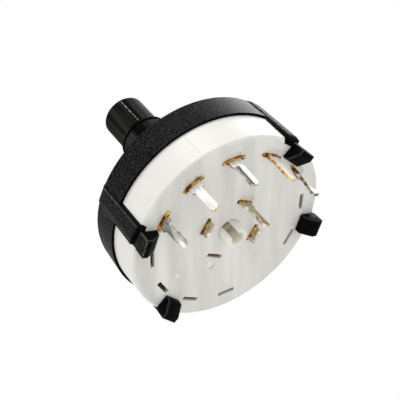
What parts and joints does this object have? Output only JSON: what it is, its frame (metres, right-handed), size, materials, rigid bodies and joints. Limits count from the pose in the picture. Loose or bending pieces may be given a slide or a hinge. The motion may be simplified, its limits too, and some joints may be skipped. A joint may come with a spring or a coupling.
{
  "type": "rotary selector switch",
  "caption": "Round panel-mount rotary selector switch: black housing with snap legs and threaded bush, plain spindle, white contact wafer and tinned brass solder tags.",
  "frame": {"origin": "on the spindle's axis, at the front face of the housing that seats on the panel", "axes": "+Z along the spindle towards the knob end, +X through the first outer terminal"},
  "size_m": [0.0276, 0.0276, 0.0323],
  "materials": {
    "housing_black": "fine grained black moulding",
    "spindle_black": "smooth satin black moulding",
    "wafer_white": "smooth white moulding",
    "carrier_white": "smooth white moulding",
    "contact_brass": "sheared brass, tinned on its broad faces",
    "steel": "plain steel",
    "ball_steel": "polished steel"
  },
  "bodies": {
    "housing": {"front_housing": "housing_black", "stop_ring": "steel", "rear_wafer": "wafer_white", "pole_contact": "contact_brass", "outer_terminal_1": "contact_brass", "outer_terminal_2": "contact_brass", "outer_terminal_3": "contact_brass", "outer_terminal_4": "contact_brass", "outer_terminal_5": "contact_brass"},
    "rotor": {"spindle": "spindle_black", "detent_spring": "steel", "contact_carrier": "carrier_white", "moving_contact": "contact_brass", "contact_spring": "steel"},
    "ball_1": {"detent_ball_1": "ball_steel"},
    "ball_2": {"detent_ball_2": "ball_steel"}
  },
  "joints": [
    {"name": "selector_turn", "type": "hinge", "parent": "housing", "child": "rotor", "pos_m": [0, 0, 0], "axis": [0, 0, 1], "range_deg": [-120, 0]},
    {"name": "detent_ball_1_slide", "type": "slide", "parent": "rotor", "child": "ball_1", "axis": [1, 0, 0], "range_m": [0, 0.0005]},
    {"name": "detent_ball_2_slide", "type": "slide", "parent": "rotor", "child": "ball_2", "axis": [-1, 0, 0], "range_m": [0, 0.0005]}
  ]
}
